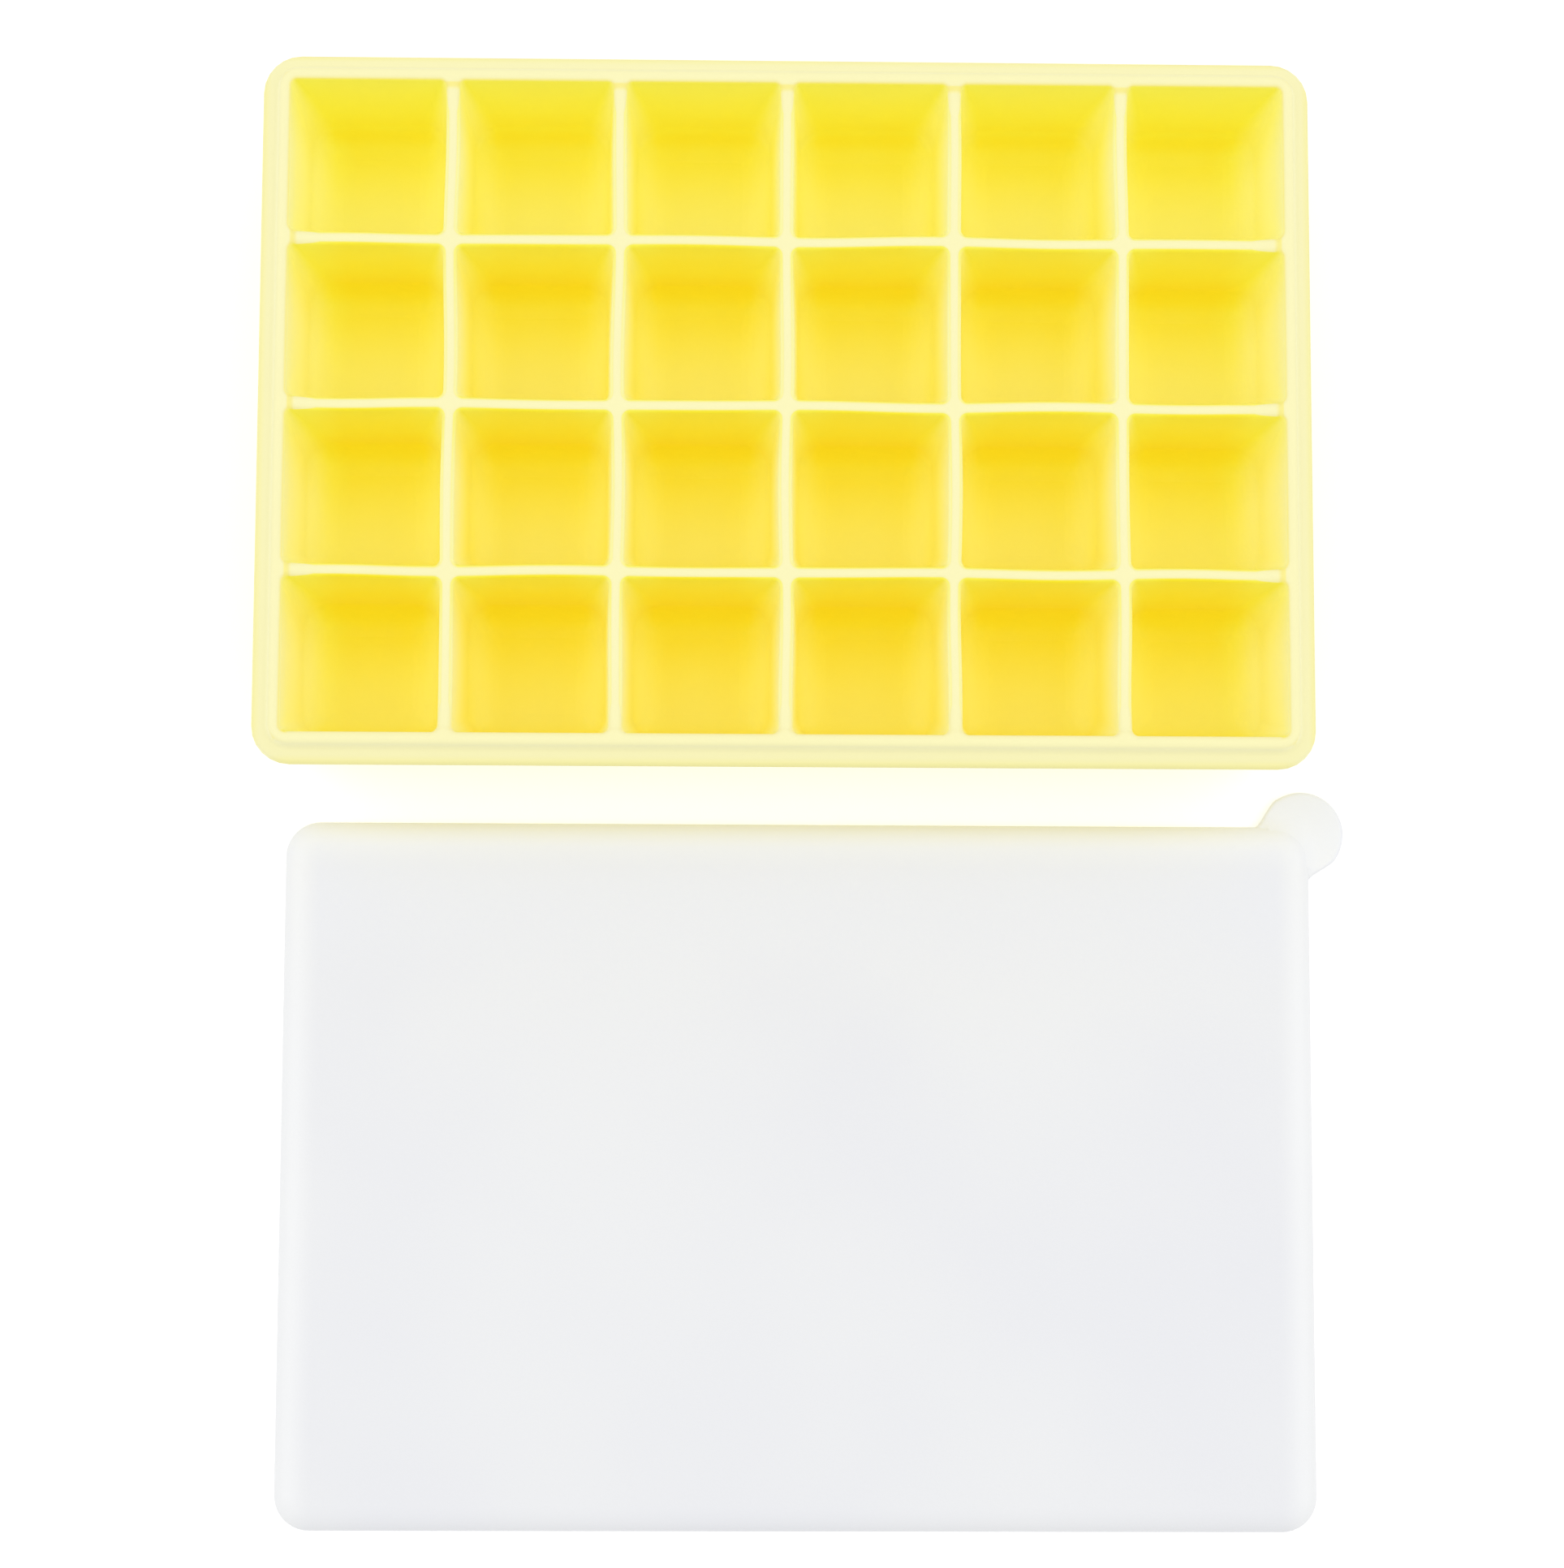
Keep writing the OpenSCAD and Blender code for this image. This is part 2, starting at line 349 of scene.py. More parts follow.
fine_grain = noise(start, place, FINE_GRAIN, GRAIN_DETAIL)
skin_grain = fine_grain + WIDE_SHARE * noise(start, place, WIDE_GRAIN)
finish_shader(start, silicone_colour, MATT + MATT_CHANGE * clouds, skin_grain, GRAIN_DEPTH,
              {"IOR": SILICONE_IOR, "Sheen Weight": 0.08, "Sheen Roughness": 0.5})
print("silicone nodes:", len(silicone.node_tree.nodes))

# %% [markdown]
# ## Frosted lid: places
# The lid's painted edge light needs to know how far a point lies from the lid's edge, round corners too.
# The distance could be stored on the mesh, point by point, but the outline is a plain rounded rectangle, and
# a short sum gives the distance from it: the length of what reaches into a corner, less the corner's radius.

# %% Places on the lid
LID_CORNER = 6.2 * MM
SIDE_EDGE = band(-7, -1.5)
REAR_EDGE = band(-9, -1)
TRAY_SIDE = band(-34, -4)
TAB_ROOT = band(-0.8, 0.8)

lid_high = np.array(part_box("lid_panel")[1])
lid_middle = np.array([(low("lid_panel", axis) + lid_high[axis]) / 2 for axis in (X, Y)])
lid_half = lid_high[:2] - lid_middle

frosted, start = new_material("frosted_white")
place = start.node("ShaderNodeTexCoord", out="Object")
x, y, z = place.parts()
past_x = abs(x - lid_middle[X]) - (lid_half[X] - LID_CORNER)
past_y = abs(y - lid_middle[Y]) - (lid_half[Y] - LID_CORNER)
in_corner = start.node("ShaderNodeCombineXYZ", plugs={"X": past_x.larger(0), "Y": past_y.larger(0)})
round_corner = start.node("ShaderNodeVectorMath", {"operation": "LENGTH"}, {0: in_corner}, out="Value")
past_edge = round_corner + past_x.larger(past_y).smaller(0) - LID_CORNER
on_tab = past_edge.ease(*TAB_ROOT)
at_side = (past_x - LID_CORNER).ease(*SIDE_EDGE)
from_rear = y - (lid_middle[Y] + lid_half[Y])
at_rear = from_rear.ease(*REAR_EDGE)
near_tray = from_rear.ease(*TRAY_SIDE)
print("lid in mm:", [round(2 * half / MM, 1) for half in lid_half], "corner", LID_CORNER / MM)

# %% [markdown]
# ## Frosted lid: colours and surface
# The lid is thinner white silicone with a fine matt surface. It is almost even in tone, a little cooler in
# places. Its colour carries painted light: lighter shoulders at the left and right where the side lamps
# fall, a lighter tab against its shade, a cooler tint near the tray against the tray's yellow light, and a
# lighter, cooler rear edge against the tray's shade. One white could do, but it would look like paper.

# %% Lid finish
LID_WHITE = paint("EEEFF1")
LID_COOL = paint("EBECF0")
# painted cool tint near the tray, against the yellow light the tray throws on the lid
LID_TINT_AGAINST_TRAY_LIGHT = paint("ECEEF5")
# painted light: lighter side shoulders and tab, and a lighter, cooler rear edge against the tray's shade
LID_EDGE_PAINTED_LIGHT = paint("F5F6F7")
LID_REAR_PAINTED_LIGHT = paint("F4F6FA")
LID_CLOUD_SIZE = 60 * MM
LID_FINE_GRAIN, LID_WIDE_GRAIN, LID_GRAIN_DEPTH = 0.5 * MM, 8 * MM, 0.02 * MM
LID_MATT, LID_MATT_CHANGE = 0.42, 0.2

clouds = noise(start, place, LID_CLOUD_SIZE)
# painted light and tint in three mixes: cooler near the tray, lighter shoulders and tab, lighter rear edge
panel_colour = near_tray.mix(clouds.ease(0.3, 0.7).mix(LID_WHITE, LID_COOL), LID_TINT_AGAINST_TRAY_LIGHT)
edge_lit_colour = at_side.larger(on_tab).mix(panel_colour, LID_EDGE_PAINTED_LIGHT)
lid_colour = at_rear.mix(edge_lit_colour, LID_REAR_PAINTED_LIGHT)
lid_grain = noise(start, place, LID_FINE_GRAIN, GRAIN_DETAIL) + noise(start, place, LID_WIDE_GRAIN)
lid_roughness = LID_MATT + LID_MATT_CHANGE * clouds
finish_shader(start, lid_colour, lid_roughness, lid_grain, LID_GRAIN_DEPTH, {"IOR": SILICONE_IOR})
print("lid nodes:", len(frosted.node_tree.nodes))

# %% [markdown]
# ## Rings of points
# Both mouldings are made of rounded boxes inside rounded boxes. A bevel on a boolean could make them, but
# its corners fall apart where many edges meet. A stack of rings is surer: every ring has the same
# number of points, so four-sided faces can be sewn between neighbours.

# %% Rings
SIDES = np.array([(1, 0), (0, 1), (-1, 0), (0, -1)])
QUARTER = math.radians(90)
CORNER_STEPS = 6
SIDE_STEPS = 6


def ring(reach, zone, square=False, corner_steps=CORNER_STEPS, side_steps=SIDE_STEPS):
    """Points round a box, from its right rear corner and counter-clockwise. reach is how far the right,
    rear, left and front sides lie from the middle, zone is how much of them the corners take, and
    square says which corners are sharp."""
    reach, zone, square = (np.broadcast_to(four, 4) for four in (reach, zone, square))
    angle = np.linspace(0, QUARTER, corner_steps + 1)
    corners = []
    for a in range(4):
        b = (a + 1) % 4
        stretch = np.maximum(np.cos(angle), np.sin(angle)) if square[a] else 1
        centre = SIDES[a] * (reach[a] - zone[a]) + SIDES[b] * (reach[b] - zone[b])
        across = np.outer(np.cos(angle) / stretch, SIDES[a] * zone[a])
        corners.append(centre + across + np.outer(np.sin(angle) / stretch, SIDES[b] * zone[b]))
    points = []
    for a in range(4):
        straight = np.linspace(corners[a][-1], corners[(a + 1) % 4][0], side_steps + 1)
        points += [corners[a], straight[1:-1]]
    return np.vstack(points)


def along_ring(values):
    """One value per ring point from four side values, changing evenly round the corners."""
    share = np.linspace(0, 1, CORNER_STEPS + 1)
    runs = []
    for a in range(4):
        b = (a + 1) % 4
        runs += [values[a] + share * (values[b] - values[a]), np.full(SIDE_STEPS - 1, values[b])]
    return np.concatenate(runs)


def arc(centre_out, centre_z, radius, first, last, steps):
    """(out, z) pairs on an arc of a section; angles in degrees, 0 outwards and 90 upwards."""
    angles = np.radians(np.linspace(first, last, steps + 1))
    return [(centre_out + radius * math.cos(a), centre_z + radius * math.sin(a)) for a in angles]


print("points in a ring:", len(ring(1, 0.2)))

# %% [markdown]
# ## Skins
# A moulding has no seams, so its skin has to be one closed surface. Rings that were made one by one could be
# merged afterwards by distance, but that may also close a thin gap. Here a point that comes up twice is
# found again by its place and shared from the start. Weighted normals then keep the flat faces flat
# beside their narrow rounds.

# %% Skins
PLACE_DIGITS = 7
SHARP_ANGLE = math.radians(40)


class Skin:
    """The points and faces of one moulding. Points that coincide are shared."""

    def __init__(self):
        self.points, self.faces, self.found = [], [], {}

    def add(self, flat, z):
        """Point numbers of a ring at one height, or at a height for each point."""
        numbers = []
        for (px, py), pz in zip(flat, np.broadcast_to(z, len(flat))):
            key = tuple(round(part, PLACE_DIGITS) for part in (px, py, pz))
            if key not in self.found:
                self.found[key] = len(self.points)
                self.points.append(key)
            numbers.append(self.found[key])
        return numbers

    def sew(self, rings, closed=True):
        """Faces between neighbouring rings, or between strips where they aren't closed."""
        for one, two in zip(rings, rings[1:]):
            for i in range(len(one) if closed else len(one) - 1):
                j = (i + 1) % len(one)
                corners = list(dict.fromkeys((one[i], one[j], two[j], two[i])))
                if len(corners) > 2:
                    self.faces.append(corners)

    def fill(self, last_ring):
        """One face over a whole ring."""
        self.faces.append(last_ring)

    def piece(self, name, material, moved=None):
        """The skin as an object; moved may shift the points once they are sewn."""
        places = np.array(self.points)
        mesh = bpy.data.meshes.new(name)
        mesh.from_pydata((moved(places) if moved else places).tolist(), [], self.faces)
        work = bmesh.new()
        work.from_mesh(mesh)
        bmesh.ops.recalc_face_normals(work, faces=work.faces)
        work.to_mesh(mesh)
        work.free()
        mesh.shade_smooth()
        mesh.set_sharp_from_angle(angle=SHARP_ANGLE)
        mesh.materials.append(material)
        made = bpy.data.objects.new(name, mesh)
        bpy.context.scene.collection.objects.link(made)
        weighted = made.modifiers.new("flat_faces_stay_flat", "WEIGHTED_NORMAL")
        weighted.keep_sharp = True
        return made


print("a skin can", ", ".join(name for name in vars(Skin) if not name.startswith("_")))

# %% [markdown]
# ## The tray
# The tray is one moulding: a lip, a flange round it, outer walls and a lattice of dividers. It could be
# shown as the CAD solids, but those meet in sharp lines. Here each cell brings one square tile: from
# the middle of the dividers round it, over their rounded tops and down into the cell. Neighbouring
# tiles share their outer points, so the lattice grows together without a seam. The lower half of
# a cell moves when its floor is pushed, so it is a piece of its own, and the tile steps back behind it.

# %% Tray tiles
DIVIDER_ROUND = 1.0 * MM
LIP_ROUND = 1.0 * MM
LIP_RAMP = 2.2 * MM
MOUTH_CORNER = 1.1 * MM
SHAFT_CORNER = 3.2 * MM
FLOOR_CORNER = 5.5 * MM
CORNER_RUN = 12 * MM
FOOT_ROUND = 0.5 * MM
SLOT = 0.4 * MM
EDGE_STEPS = 4
UPPER_WALL_Z = 25 * MM
SEAM_Z = 21 * MM
lip_line = (grid_half + lip_half) / 2
foot_half = lip_half - SLOPE * lip_z
hole_reach = cell_reach(0) + SLOT
foot_line = (foot_half + grid_half - SLOPE * lip_z) / 2


def corner_at(z):
    """Radius of a cell's corners at a height: small at the mouth, larger down the shaft."""
    heights = (floor_z, divider_z - CORNER_RUN, divider_z)
    return np.interp(z, heights, (FLOOR_CORNER, SHAFT_CORNER, MOUTH_CORNER))


def land_height(points):
    """Height of the tray's top: the dividers' level, rising to the lip at the outer walls."""
    past = np.max(np.abs(points) - grid_half, axis=1) + SLOPE * LIP_ROUND
    rise = np.clip(1 + past / LIP_RAMP, 0, 1)
    return divider_z + (lip_z - divider_z) * rise * rise * (3 - 2 * rise)


def to_line(centre, line):
    """Distance from a cell's middle to a rectangle's right, rear, left and front side."""
    return np.concatenate((line - centre, line + centre))


def tile(skin, r, c):
    """Sews one cell's tile and returns its first ring, on top, and its last, underneath."""
    centre = middle(f"cell_floor_r{r}_c{c}")[:2]
    outer = np.array((c == columns, r == 1, c == 1, r == rows))
    size = np.where(outer, LIP_ROUND, DIVIDER_ROUND)
    wall = np.where(outer, cell_reach(lip_z - LIP_ROUND), cell_reach(divider_z - DIVIDER_ROUND))
    edge = np.where(outer, to_line(centre, lip_line), pitch / 2)
    shared = ~(outer & np.roll(outer, -1))
    flat = centre + ring(edge, edge - (wall - MOUTH_CORNER), square=shared)
    rings = [skin.add(flat, land_height(flat))]
    for angle in np.linspace(QUARTER, 0, EDGE_STEPS + 1):
        back = size * (1 - math.cos(angle))
        flat = centre + ring(wall + back, MOUTH_CORNER + back)
        rings.append(skin.add(flat, land_height(flat) - along_ring(size) * (1 - math.sin(angle))))
    for level in (UPPER_WALL_Z, SEAM_Z):
        rings.append(skin.add(centre + ring(cell_reach(level), corner_at(level)), level))
    rings.append(skin.add(centre + ring(cell_reach(SEAM_Z) + SLOT, corner_at(SEAM_Z) + SLOT), SEAM_Z))
    foot_corner = FLOOR_CORNER + SLOT
    rings.append(skin.add(centre + ring(cell_reach(FOOT_ROUND) + SLOT, foot_corner), FOOT_ROUND))
    rings.append(skin.add(centre + ring(hole_reach + FOOT_ROUND, foot_corner + FOOT_ROUND), 0))
    edge = np.where(outer, to_line(centre, foot_line), pitch / 2)
    rings.append(skin.add(centre + ring(edge, edge - (hole_reach - FLOOR_CORNER), square=shared), 0))
    skin.sew(rings)
    return rings[0], rings[-1]


tray_skin = Skin()
tiles = {cell: tile(tray_skin, *cell) for cell in cells}
print("tray lattice:", len(tray_skin.points), "points")

# %% [markdown]
# ## The tray's outside
# The outside is one more stack of rings. It starts from the tiles' points along the middle of the lip, goes
# over the lip, round the flange, down the wall and under the foot. It could be drawn with points of its
# own and joined to the lattice, but rings that keep the tiles' points need no joint.

# %% Walk round the tray
LIP_CORNER = 3.6 * MM


def rim_walk(layer):
    """Point numbers along the outer edge of the tiles, counter-clockwise from the front right corner."""
    walk = []
    run = CORNER_STEPS + SIDE_STEPS
    stops = [((r, columns), 0) for r in range(rows, 0, -1)]
    stops += [((1, c), 1) for c in range(columns, 0, -1)]
    stops += [((r, 1), 2) for r in range(1, rows + 1)]
    stops += [((rows, c), 3) for c in range(1, columns + 1)]
    for cell, side in stops:
        numbers = tiles[cell][layer]
        begin = (side - 1) * run + CORNER_STEPS // 2
        walk += [numbers[(begin + k) % len(numbers)] for k in range(run)]
    return walk


def wrap(walk, corner_zone, out, z):
    """A ring some way out from the lip's face, with a point for each point of the walk."""
    half = lip_half + out
    radius = LIP_CORNER + out
    flat = []
    for px, py, _ in (tray_skin.points[n] for n in walk):
        dx, dy = abs(px) - (lip_line[X] - corner_zone), abs(py) - (lip_line[Y] - corner_zone)
        if dx > 0 and dy > 0:
            turn = math.atan2(dy, dx)
            wx = half[X] - radius + radius * math.cos(turn)
            wy = half[Y] - radius + radius * math.sin(turn)
        elif dx > 0:
            wx, wy = half[X], abs(py) * (half[Y] - radius) / (lip_line[Y] - corner_zone)
        else:
            wx, wy = abs(px) * (half[X] - radius) / (lip_line[X] - corner_zone), half[Y]
        flat.append((math.copysign(wx, px), math.copysign(wy, py)))
    return tray_skin.add(flat, z)


top_walk, under_walk = rim_walk(0), rim_walk(1)
print("points along the lip:", len(top_walk), "and under the foot:", len(under_walk))

# %% [markdown]
# ## Lip, flange and foot
# The flange has a full round edge, and the lip doesn't meet it in a corner: a hollow runs out of the lip's
# face into a slope, and the slope ends where it touches the round edge. A fillet of a guessed size would
# leave a kink there. The two tangents fix the hollow's radius, so it is worked out.

# %% Tray outside
LIP_OUTER_ROUND = 0.9 * MM
RIM_SLOPE = 28
FLANGE_FILLET = 1.5 * MM
WALL_FOOT_ROUND = 0.8 * MM
ROUND_STEPS = 4


def lean(z):
    """How far out from the lip's face the outer wall lies, at a height."""
    return -SLOPE * (lip_z - z)


nose = (flange_high - flange_low) / 2
slope_sin, slope_cos = (turn(math.radians(RIM_SLOPE)) for turn in (math.sin, math.cos))
slope_end = (flange_w - nose + nose * slope_sin, flange_low + nose + nose * slope_cos)
hollow_z = lip_z - LIP_OUTER_ROUND
drop = hollow_z - slope_end[1]
hollow = (drop * slope_cos - slope_end[0] * slope_sin) / (1 - slope_sin)
under_z = flange_low - FLANGE_FILLET
section = arc(-LIP_OUTER_ROUND, hollow_z, LIP_OUTER_ROUND, 90, 0, ROUND_STEPS)
section += arc(hollow, hollow_z, hollow, 180, 270 - RIM_SLOPE, 2 * ROUND_STEPS)[1:]
section += arc(flange_w - nose, flange_low + nose, nose, 90 - RIM_SLOPE, -90, 2 * ROUND_STEPS)
section += arc(lean(under_z) + FLANGE_FILLET, under_z, FLANGE_FILLET, 90, 180, ROUND_STEPS)
section += arc(lean(0) - WALL_FOOT_ROUND, WALL_FOOT_ROUND, WALL_FOOT_ROUND, 0, -90, ROUND_STEPS)
corner_zone = lip_line[X] - (grid_half[X] - SLOPE * LIP_ROUND - MOUTH_CORNER)
tray_skin.sew([top_walk, *(wrap(top_walk, corner_zone, out, z) for out, z in section), under_walk])
print("tray skin:", len(tray_skin.points), "points,", len(tray_skin.faces), "faces")
print(f"hollow above the flange: radius {hollow / MM:.2f} mm")

# %% [markdown]
# ## Softness
# A soft divider is never quite straight. A slow sideways wave of a fraction of a millimetre, still at the
# outer walls and at the floors, keeps the lattice from looking like a machined grid. Noise could do
# it, but two sine waves are smoother and come out the same every time.

# %% Place the tray
WAVE = 0.14 * MM
WAVE_LENGTHS = (53 * MM, 37 * MM, 71 * MM)
SECOND_WAVE = 0.6
STILL_BELOW, WAKING_RUN = 5 * MM, 20 * MM


def soft_wave(places):
    px, py, pz = places.T
    calm = np.clip((pz - STILL_BELOW) / WAKING_RUN, 0, 1)
    for across, half in ((px, grid_half[X]), (py, grid_half[Y])):
        calm = calm * np.clip((half - np.abs(across)) / (pitch / 2), 0, 1)
    long, short, drift = (2 * math.pi / length for length in WAVE_LENGTHS)
    shift_x = np.sin(long * py + drift * px) + SECOND_WAVE * np.sin(short * py - drift * px + 1)
    shift_y = np.sin(long * px + drift * py + 2) + SECOND_WAVE * np.sin(short * px - drift * py)
    return places + (WAVE * calm * np.array((shift_x, shift_y, np.zeros_like(px)))).T


tray = tray_skin.piece("tray_moulding", silicone, moved=soft_wave)
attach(tray, "tray")
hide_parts(*(name for name, body in frame["nodes"].items() if body["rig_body"] == "tray"))

# %% [markdown]
# ## The cell pockets
# Pushing a cube out stretches the lower part of a cell: its floor rises and the walls above it give way. A
# rigid floor plate in a slot would show a gap all round. Each pocket is a closed cup with a rounded
# bottom instead. It meets the tray's wall at its upper edge and takes the place of the cell's floor.

# %% Pockets
FLOOR_FILLET = 5.4 * MM
POCKET_WALL = 0.35 * MM
POCKET_FOOT = 0.4 * MM
CUP_LEVELS = 6
FILLET_STEPS = 8
SMALLEST_CORNER = 0.6 * MM
FLOOR_SHARES = (0.6, 0.25)
UNDER_SHARES = (0.25, 1)
STILL_Z = 19 * MM


def pocket(r, c):
    skin = Skin()
    centre = middle(f"cell_floor_r{r}_c{c}")[:2]

    def level(reach, corner, z):
        return skin.add(centre + ring(reach, max(corner, SMALLEST_CORNER)), z)

    rings = []
    fillet_z = floor_z + FLOOR_FILLET
    for z in (floor_under + POCKET_FOOT, STILL_Z, SEAM_Z):
        rings.append(level(cell_reach(z) + POCKET_WALL, corner_at(z) + POCKET_WALL, z))
    for z in np.linspace(SEAM_Z, fillet_z, CUP_LEVELS)[:-1]:
        rings.append(level(cell_reach(z), corner_at(z), z))
    for out, z in arc(-FLOOR_FILLET, fillet_z, FLOOR_FILLET, 0, -90, FILLET_STEPS):
        rings.append(level(cell_reach(fillet_z) + out, corner_at(fillet_z) + out, z))
    for share in FLOOR_SHARES:
        rings.append(level(share * cell_reach(floor_z), SMALLEST_CORNER, floor_z))
    foot = cell_reach(floor_under) + POCKET_WALL - POCKET_FOOT
    under = [level(share * foot, FLOOR_CORNER * share, floor_under) for share in UNDER_SHARES]
    skin.sew([*under, *rings])
    skin.fill(under[0])
    skin.fill(rings[-1])
    made = skin.piece(f"cell_pocket_r{r}_c{c}", silicone, moved=soft_wave)
    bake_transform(made)
    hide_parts(f"cell_floor_r{r}_c{c}")
    return made


pockets = [pocket(*cell) for cell in cells]
print(len(pockets), "pockets of", len(pockets[0].data.polygons), "faces")

# %% [markdown]
# ## The lid
# The lid is a shallow tub that lies with its top up: a flat panel, a wide soft shoulder, and a skirt with a
# sealing bead inside. A solidified plane could do for the panel, but not for the bead. One section
# swept round the lid makes all of it, from the middle of the panel over the shoulder and the foot to
# the middle of the underside.

# %% Lid cover
SHOULDER_W, SHOULDER_H, SHOULDER_POINTS = 4.6 * MM, 3.2 * MM, 8
SKIRT_T = 1.7 * MM
SKIRT_FOOT_ROUND, SKIRT_FOOT_CUT = 0.6 * MM, 0.3 * MM
BEAD_H, BEAD_FROM, BEAD_TO, BEAD_POINTS = 0.6 * MM, 0.8 * MM, 2.0 * MM, 6
INNER_FILLET = 0.6 * MM
LID_CORNER_STEPS, LID_SIDE_STEPS = 10, 14
PANEL_INSETS = (57 * MM, 44 * MM, 30 * MM, 17 * MM, 9 * MM)
SMALLEST_LID_CORNER = 2 * MM
panel_top, panel_under = lid_high[Z], low("lid_panel", Z)

lid_skin = Skin()


def lid_ring(inset, z):
    reach = lid_half[[X, Y, X, Y]] - inset
    corner = max(LID_CORNER - inset, SMALLEST_LID_CORNER)
    flat = ring(reach, corner, corner_steps=LID_CORNER_STEPS, side_steps=LID_SIDE_STEPS)
    return lid_skin.add(lid_middle + flat, z)


section = [(inset, panel_top) for inset in PANEL_INSETS]
for angle in np.linspace(QUARTER, 0, SHOULDER_POINTS):
    section.append((SHOULDER_W * (1 - math.cos(angle)), panel_top - SHOULDER_H * (1 - math.sin(angle))))
section += [(SKIRT_FOOT_ROUND - out, z)
            for out, z in arc(0, SKIRT_FOOT_ROUND, SKIRT_FOOT_ROUND, 0, -90, ROUND_STEPS)]
section += [(SKIRT_T - SKIRT_FOOT_CUT, 0), (SKIRT_T, SKIRT_FOOT_CUT)]
for share in np.linspace(0, 1, BEAD_POINTS):
    bead_out = BEAD_H * math.sin(math.pi * share)
    section.append((SKIRT_T + bead_out, BEAD_FROM + share * (BEAD_TO - BEAD_FROM)))
section += [(SKIRT_T + INNER_FILLET - out, z)
            for out, z in arc(0, panel_under - INNER_FILLET, INNER_FILLET, 0, 90, ROUND_STEPS)]
section += [(inset, panel_under) for inset in reversed(PANEL_INSETS)]
lid_rings = [lid_ring(inset, z) for inset, z in section]
lid_skin.sew(lid_rings)
lid_skin.fill(lid_rings[0])
lid_skin.fill(lid_rings[-1])
lid = lid_skin.piece("lid_cover", frosted)
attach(lid, "lid")
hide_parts("lid_panel", "lid_skirt")
print("lid:", len(lid_skin.faces), "faces")

# %% [markdown]
# ## The pull tab's outline
# The tab is a round tongue that grows out of the lid's corner. A disc pushed into the lid would show a hard
# line round its root, so the tongue is drawn as a strip along the lid's own outline: for every point
# of the outline, how far does the tongue reach out? Smoothing that reach gives the small fillets at
# both ends of the root. Where there is no tongue, the reach stays tucked in under the lid's edge.

# %% Tab outline
TAB_R = 7.6 * MM
ROOT_OVERRUN = 5 * MM
ROOT_POINTS = 97
TUCKED_IN = -0.3 * MM
FILLET_PASSES = 40

tab_high = np.array(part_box("pull_tab")[1])
tab_middle = tab_high[:2] - TAB_R
corner_middle = lid_middle + lid_half - LID_CORNER
half_turn = LID_CORNER * QUARTER / 2
root = np.linspace(-half_turn - ROOT_OVERRUN, half_turn + ROOT_OVERRUN, ROOT_POINTS)
on_corner = np.clip(root, -half_turn, half_turn)
turn = QUARTER / 2 + on_corner / LID_CORNER
outward = np.stack((np.cos(turn), np.sin(turn)), axis=1)
sideways = np.stack((-np.sin(turn), np.cos(turn)), axis=1)
outline = corner_middle + LID_CORNER * outward + (root - on_corner)[:, None] * sideways
to_disc = tab_middle - outline
forward = (to_disc * outward).sum(axis=1)
aside = (to_disc * sideways).sum(axis=1)
tab_out = np.maximum(forward + np.sqrt(np.maximum(TAB_R ** 2 - aside ** 2, 0)), TUCKED_IN)
tab_out[np.abs(aside) > TAB_R] = TUCKED_IN
for _ in range(FILLET_PASSES):
    tab_out[1:-1] = (tab_out[:-2] + 2 * tab_out[1:-1] + tab_out[2:]) / 4
print("tab reaches", round(tab_out.max() / MM, 1), "mm out of the lid's corner")

# %% [markdown]
# ## The pull tab's tongue
# The tongue is as thick as the CAD tab, with a round rim. Near its root it swells up to meet the lid's
# shoulder, as moulded tabs do so that they don't tear off. A subdivision surface would round the rim
# too, but it would also pull the root away from the lid, so the strips are placed one by one.

# %% Tab tongue
ROOT_DEPTH = 0.9 * MM
LEAST_DEPTH = 0.05 * MM
SWELL_H, SWELL_RUN = 1.0 * MM, 2.4 * MM
FULL_SWELL_AT = 3 * MM
ACROSS = (0.0, 0.06, 0.12, 0.2, 0.28, 0.38, 0.5, 0.7, 0.88)

tab_low_z = low("pull_tab", Z)
tab_half_t = (tab_high[Z] - tab_low_z) / 2
tab_mid_z = tab_low_z + tab_half_t
body_out = np.maximum(tab_out - tab_half_t, -ROOT_DEPTH + LEAST_DEPTH)
swell = SWELL_H * np.clip(tab_out / FULL_SWELL_AT, 0, 1) ** 2
strips = []
for share in ACROSS:
    out = -ROOT_DEPTH + share * (body_out + ROOT_DEPTH)
    near_root = np.clip((SWELL_RUN - out) / (SWELL_RUN + ROOT_DEPTH), 0, 1)
    strips.append((out, tab_half_t, swell * near_root ** 2))
for angle in np.linspace(QUARTER, 0, ROUND_STEPS + 1):
    out = body_out + (tab_out - body_out) * math.cos(angle)
    strips.append((out, tab_half_t * math.sin(angle), 0))

tab_skin = Skin()
upper, lower = [], []
for out, height, raised in strips:
    upper.append(tab_skin.add(outline + out[:, None] * outward, tab_mid_z + height + raised))
    lower.append(tab_skin.add(outline + out[:, None] * outward, tab_mid_z - height))
for strip_pair in (upper, lower, [upper[0], lower[0]]):
    tab_skin.sew(strip_pair, closed=False)
for end in (0, -1):
    tab_skin.sew([[strip[end] for strip in upper], [strip[end] for strip in lower]], closed=False)
tab = tab_skin.piece("tab_tongue", frosted)
print("tab:", len(tab_skin.faces), "faces")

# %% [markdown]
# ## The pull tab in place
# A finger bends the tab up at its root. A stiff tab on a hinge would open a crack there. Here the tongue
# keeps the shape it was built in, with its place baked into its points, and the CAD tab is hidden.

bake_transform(tab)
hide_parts("pull_tab")

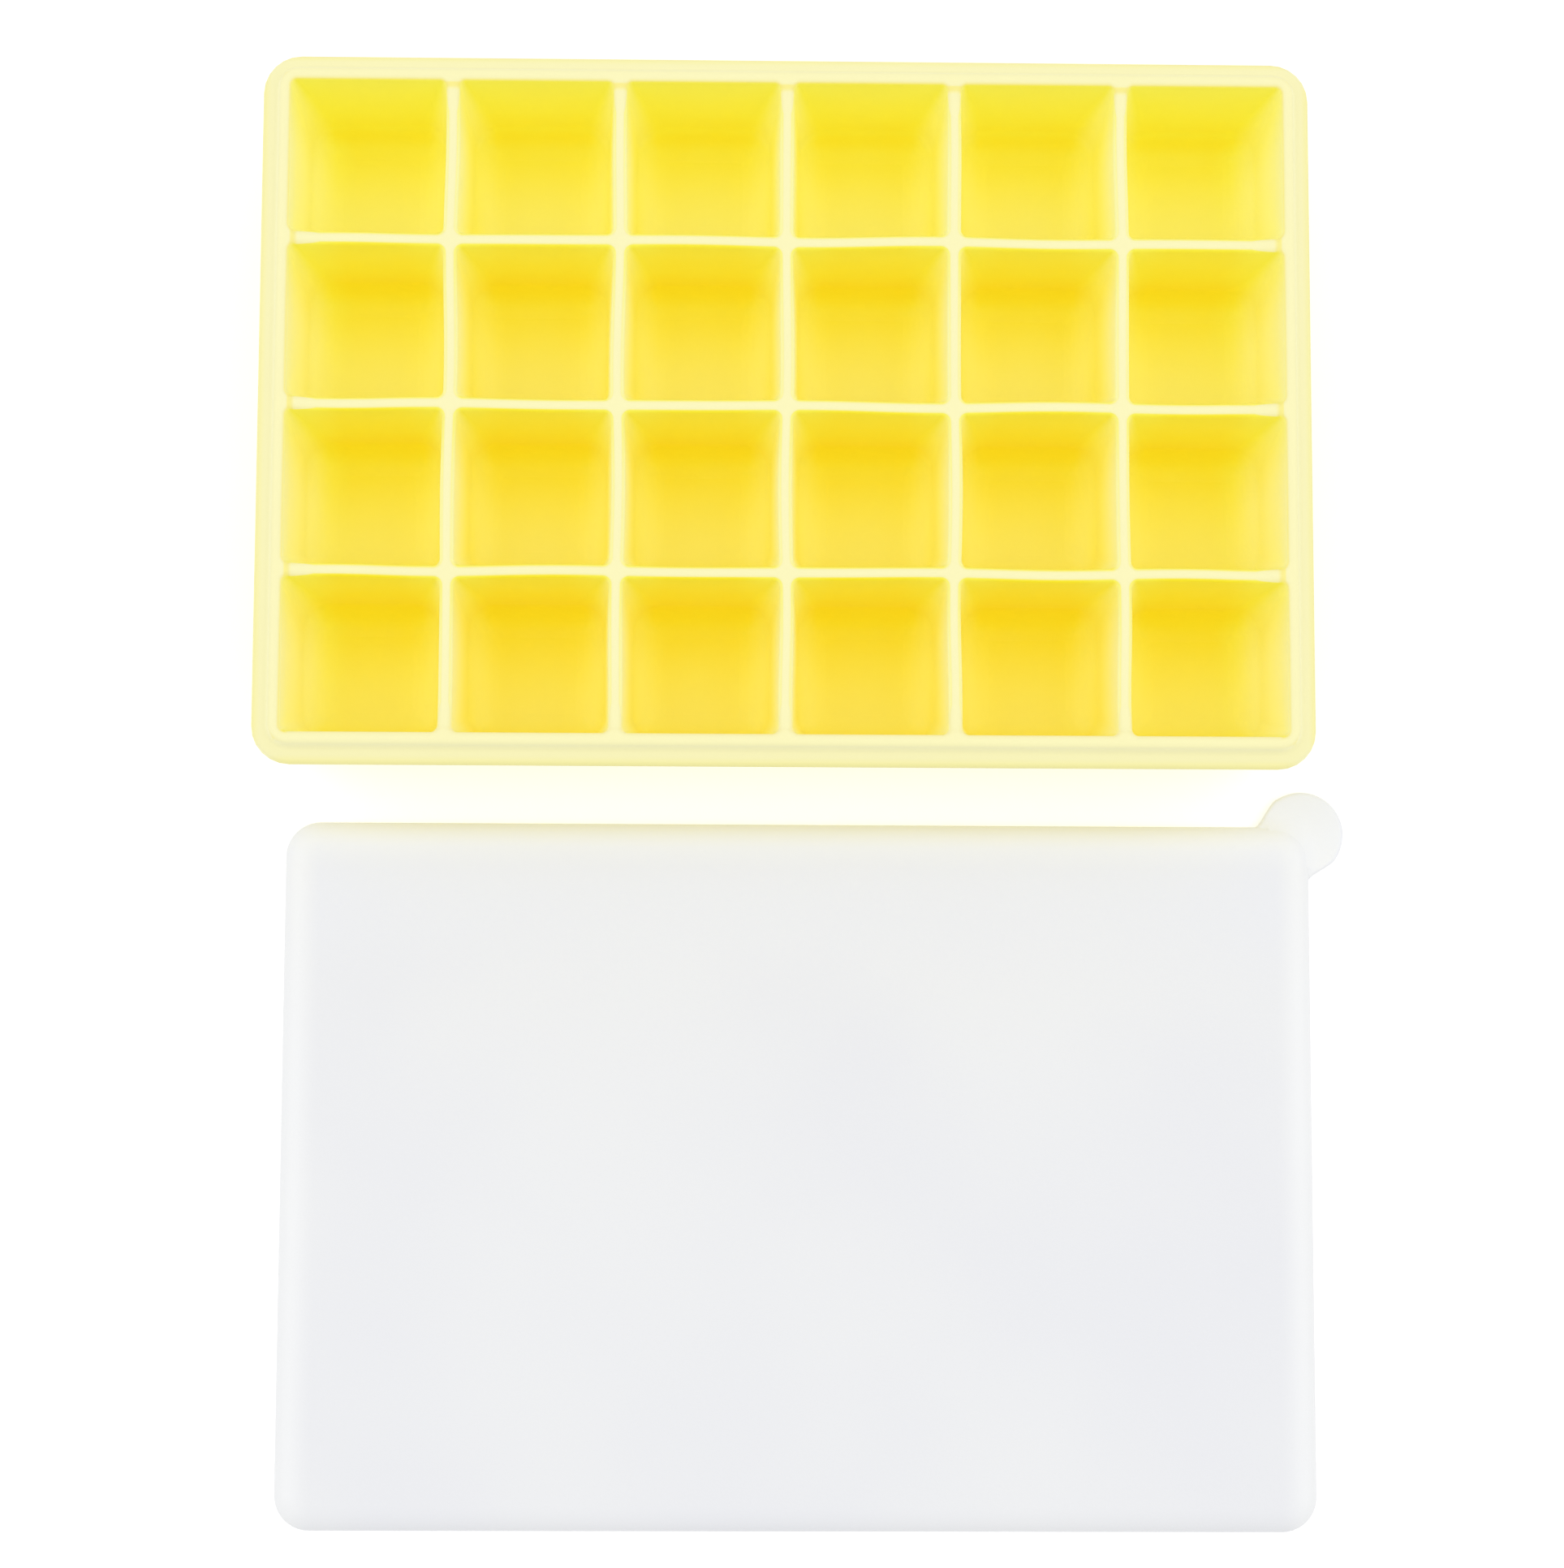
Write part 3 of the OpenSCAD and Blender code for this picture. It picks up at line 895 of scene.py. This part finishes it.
# %% [markdown]
# ## Table
# The photograph is a bright product picture, white all round and with hardly a shadow. A very bright floor
# would throw light up at the object and wash it out. So the table is a plain white floor, lifted to
# white only where it is looked at and not where it lights, and it keeps the soft shadow.

# %% Table
FLOOR_WHITE = (0.92, 0.92, 0.92, 1.0)
FLOOR_LIFT = 0.3
FLOOR_HALF = 2.0
scene = bpy.context.scene


def looked_at(wire):
    """1 where a surface is seen, directly, mirrored or through something, and 0 where it only lights."""
    path = wire.node("ShaderNodeLightPath").socket.node.outputs
    kinds = ("Camera", "Glossy", "Transmission")
    camera, glossy, through = (Wire(wire.tree, path[f"Is {kind} Ray"]) for kind in kinds)
    return camera.larger(glossy).larger(through)


table_top, start = new_material("white_table")
lift = start.node("ShaderNodeEmission", plugs={"Strength": FLOOR_LIFT * looked_at(start)})
matt = start.node("ShaderNodeBsdfDiffuse", plugs={"Color": FLOOR_WHITE})
both = start.node("ShaderNodeAddShader", plugs={0: matt, 1: lift})
start.node("ShaderNodeOutputMaterial", plugs={"Surface": both})

around = ((-1, -1), (1, -1), (1, 1), (-1, 1))
mesh = bpy.data.meshes.new("table")
mesh.from_pydata([(sx * FLOOR_HALF, sy * FLOOR_HALF, 0) for sx, sy in around], [], [(0, 1, 2, 3)])
mesh.materials.append(table_top)
table = bpy.data.objects.new("table", mesh)
scene.collection.objects.link(table)
print("table:", 2 * FLOOR_HALF, "m wide")

# %% [markdown]
# ## Light
# The light comes from everywhere: a white world, and two broad lamps, left and right. They reach the side
# walls of the cells, but hardly the walls that face the front or the back. Light in a cell is thrown
# from wall to wall many times and grows yellower each time. With the usual few bounces the cells
# would come out dim, and stronger lamps would wash out the rim, so more bounces are followed.

# %% Sky and lamps
SKY_STRENGTH = 0.755
LAMP_WATTS, LAMP_SIZE = 4.7, 1.2
LAMP_OUT, LAMP_BACK, LAMP_UP = 1.0, 0.05, 1.15
LAMP_TARGET = Vector((0, -0.06, 0))
BOUNCES = 12

world = bpy.data.worlds.new("white_studio")
world.use_nodes = True
world.node_tree.nodes.clear()
sky = Wire(world.node_tree)
sky_strength = SKY_STRENGTH + (1 - SKY_STRENGTH) * looked_at(sky)
light = sky.node("ShaderNodeBackground", plugs={"Strength": sky_strength, "Color": (1, 1, 1, 1)})
sky.node("ShaderNodeOutputWorld", plugs={"Surface": light})
scene.world = world
scene.view_settings.view_transform = "Standard"
scene.cycles.diffuse_bounces = BOUNCES

for side in (-1, 1):
    lamp_data = bpy.data.lights.new("broad_lamp", "AREA")
    lamp_data.energy, lamp_data.size = LAMP_WATTS, LAMP_SIZE
    lamp = bpy.data.objects.new("broad_lamp", lamp_data)
    scene.collection.objects.link(lamp)
    lamp.location = (side * LAMP_OUT, LAMP_BACK, LAMP_UP)
    lamp.rotation_euler = (LAMP_TARGET - lamp.location).to_track_quat("-Z", "Y").to_euler()
print("lamps:", len(bpy.data.lights), "of", LAMP_WATTS, "W, diffuse bounces:", BOUNCES)

# %% [markdown]
# ## Camera
# The photograph looks down on both pieces from in front of the tray, with little perspective. The camera
# could be set by eye, but its place, its turn in degrees and its focal length were found by fitting
# the corners and edges of the model to those in the picture, so they are no round numbers.

# %% Camera
CAMERA_PLACE = (-11.89 * MM, -133.1 * MM, 628.8 * MM)
CAMERA_TURN = (6.328, -1.104, 0.196)
FOCAL_PIXELS, LONG_SIDE_PIXELS, SENSOR_MM = 4304.0, 1932, 36.0

camera_data = bpy.data.cameras.new("photo_camera")
camera_data.sensor_width = SENSOR_MM
camera_data.lens = FOCAL_PIXELS / LONG_SIDE_PIXELS * SENSOR_MM
camera = bpy.data.objects.new("photo_camera", camera_data)
camera.location = CAMERA_PLACE
camera.rotation_euler = [math.radians(angle) for angle in CAMERA_TURN]
scene.collection.objects.link(camera)
scene.camera = camera
print("camera lens:", round(camera_data.lens, 1), "mm, height", round(CAMERA_PLACE[Z] / MM), "mm")

# %% [markdown]
# ## The dressed model's size
# The dressed model should fill the same box as the CAD model, because a skin that grew or shrank would no
# longer fit what the joints and the collision shapes expect.
